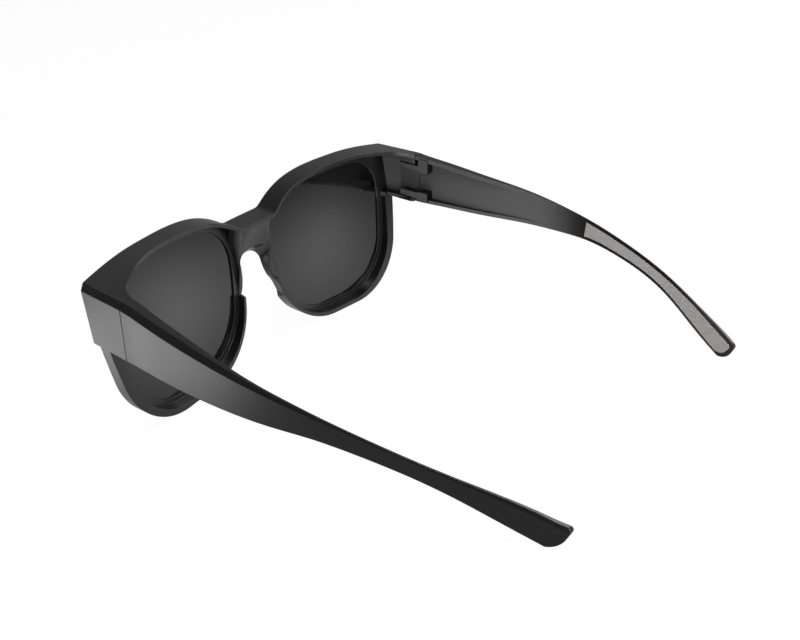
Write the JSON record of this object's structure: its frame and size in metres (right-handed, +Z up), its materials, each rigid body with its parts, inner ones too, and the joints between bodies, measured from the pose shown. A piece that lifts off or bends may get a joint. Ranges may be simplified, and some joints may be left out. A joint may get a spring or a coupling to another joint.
{
  "type": "fitover sunglasses",
  "caption": "Wrap-round sunglasses worn over other glasses, with a deep brow shelf, walled rims, dark lenses and wide folding arms with grey ear pads.",
  "frame": {"origin": "middle of the bounding box at floor level, standing on both rims and both arm tips with the arms open", "axes": "+X to the wearer's left, +Y to the rear along the arms, +Z up"},
  "size_m": [0.155, 0.156, 0.0591],
  "materials": {
    "frame_plastic": "satin black moulded plastic",
    "lens": "dark grey, glossy",
    "pad": "matte warm grey",
    "pin": "drawn wire"
  },
  "bodies": {
    "front": {"front_frame": "frame_plastic", "lens_left": "lens", "hinge_pin_upper_left": "pin", "hinge_pin_lower_left": "pin", "lens_right": "lens", "hinge_pin_upper_right": "pin", "hinge_pin_lower_right": "pin"},
    "left_arm": {"temple_left": "frame_plastic", "ear_pad_left": "pad"},
    "right_arm": {"temple_right": "frame_plastic", "ear_pad_right": "pad"}
  },
  "joints": [
    {"name": "left_hinge", "type": "hinge", "parent": "front", "child": "left_arm", "pos_m": [0.0712, -0.0594, 0.04358], "axis": [0, 0.1521, 0.9884], "range_deg": [0, 82]},
    {"name": "right_hinge", "type": "hinge", "parent": "front", "child": "right_arm", "pos_m": [-0.0712, -0.0594, 0.04358], "axis": [0, -0.1521, -0.9884], "range_deg": [0, 70]}
  ]
}
